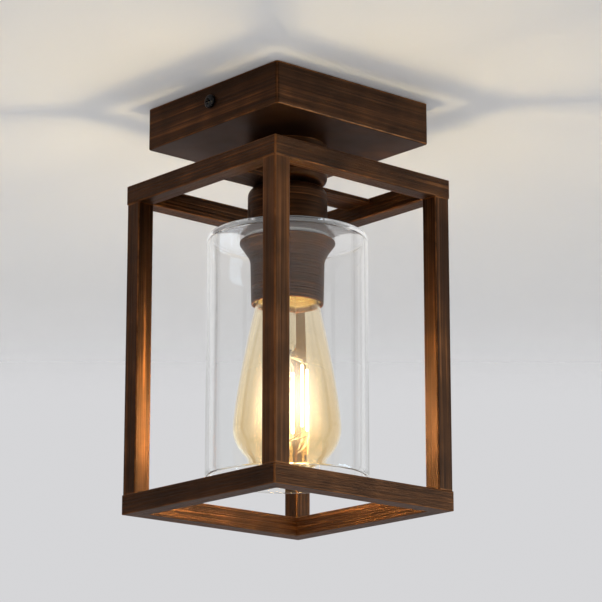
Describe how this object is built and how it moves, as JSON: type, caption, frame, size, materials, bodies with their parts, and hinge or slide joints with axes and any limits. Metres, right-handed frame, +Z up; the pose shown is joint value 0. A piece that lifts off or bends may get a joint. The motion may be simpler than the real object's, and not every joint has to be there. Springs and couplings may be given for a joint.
{
  "type": "flush mount ceiling light",
  "caption": "Square ceiling canopy with an open lantern frame of square tube hung below it, a clear glass cylinder shade and a screw-in filament bulb.",
  "frame": {"origin": "centre of the ceiling bracket's top face, on the ceiling plane", "axes": "+Z up into the ceiling, light hanging below; -Y towards the front canopy screw, X across the bracket"},
  "size_m": [0.14, 0.14, 0.253],
  "materials": {
    "bronze": "brushed dark bronze with copper coloured streaks",
    "zinc_steel": "zinc plated",
    "black_screw": "blackened steel",
    "clear_glass": "clear polished",
    "amber_glass": "thin amber tint",
    "mount_glass": "clear",
    "filament": "yellow phosphor, lit",
    "brass": "plain",
    "cap_metal": "bright drawn",
    "black_insulator": "black glass",
    "holder_plastic": "moulded black",
    "ceramic": "glazed white",
    "block_plastic": "translucent white",
    "soft_ring": "translucent silicone",
    "lead_brown": "insulation",
    "lead_blue": "insulation",
    "lead_green": "insulation"
  },
  "bodies": {
    "fixture": {"bottom_rail_back": "bronze", "bottom_rail_front": "bronze", "bottom_rail_left": "bronze", "bottom_rail_right": "bronze", "bracket_earth_screw": "brass", "canopy": "bronze", "ceiling_bracket": "zinc_steel", "cross_bar": "bronze", "earth_lead": "lead_green", "earth_tag": "brass", "holder_cup": "bronze", "lampholder_cap": "holder_plastic", "lampholder_contact": "brass", "lampholder_grub_screw": "zinc_steel", "lampholder_insert": "ceramic", "lampholder_shell": "brass", "lampholder_skirt": "holder_plastic", "lampholder_terminal_screws": "brass", "lampholder_terminals": "brass", "live_lead": "lead_brown", "neutral_lead": "lead_blue", "post_back_left": "bronze", "post_back_right": "bronze", "post_front_left": "bronze", "post_front_right": "bronze", "shade_gasket_upper": "soft_ring", "spacer_cup": "bronze", "stem_nuts": "zinc_steel", "stem_tube": "zinc_steel", "stem_washers": "zinc_steel", "terminal_block": "block_plastic", "terminal_clamps": "brass", "terminal_fixing_screw": "zinc_steel", "terminal_screws": "zinc_steel", "top_rail_back": "bronze", "top_rail_front": "bronze", "top_rail_left": "bronze", "top_rail_right": "bronze"},
    "shade": {"glass_shade": "clear_glass", "shade_gasket_lower": "soft_ring"},
    "shade_ring": {"shade_ring": "bronze"},
    "bulb_glass": {"bulb_envelope": "amber_glass"},
    "bulb_base": {"bulb_cap": "cap_metal", "bulb_filaments": "filament", "bulb_insulator": "black_insulator", "bulb_stem": "mount_glass", "bulb_tip": "brass", "bulb_wires": "cap_metal"},
    "canopy_screw_front": {"canopy_screw_front": "black_screw"},
    "canopy_screw_back": {"canopy_screw_back": "black_screw"}
  },
  "joints": [
    {"name": "shade_travel", "type": "slide", "parent": "fixture", "child": "shade", "axis": [0, 0, 1], "range_m": [-0.005, 0]},
    {"name": "shade_ring_turn", "type": "hinge", "parent": "shade", "child": "shade_ring", "pos_m": [0, 0, -0.1], "axis": [0, 0, 1], "range_deg": [-720.5, 0]},
    {"name": "bulb_travel", "type": "slide", "parent": "fixture", "child": "bulb_glass", "axis": [0, 0, 1], "range_m": [-0.01815, 0]},
    {"name": "bulb_turn", "type": "hinge", "parent": "bulb_glass", "child": "bulb_base", "pos_m": [0, 0, -0.1], "axis": [0, 0, 1], "range_deg": [-1800.5, 0]},
    {"name": "canopy_screw_front_turn", "type": "hinge", "parent": "fixture", "child": "canopy_screw_front", "pos_m": [0, -0.061, -0.01], "axis": [0, -1, 0], "range_deg": [0, 1080]},
    {"name": "canopy_screw_back_turn", "type": "hinge", "parent": "fixture", "child": "canopy_screw_back", "pos_m": [0, 0.061, -0.01], "axis": [0, 1, 0], "range_deg": [0, 1080]}
  ],
  "couplings": [
    {"joint": "shade_ring_turn", "follows": "shade_travel", "rad_per_m": 2513.3},
    {"joint": "bulb_turn", "follows": "bulb_travel", "rad_per_m": 1731.4}
  ]
}
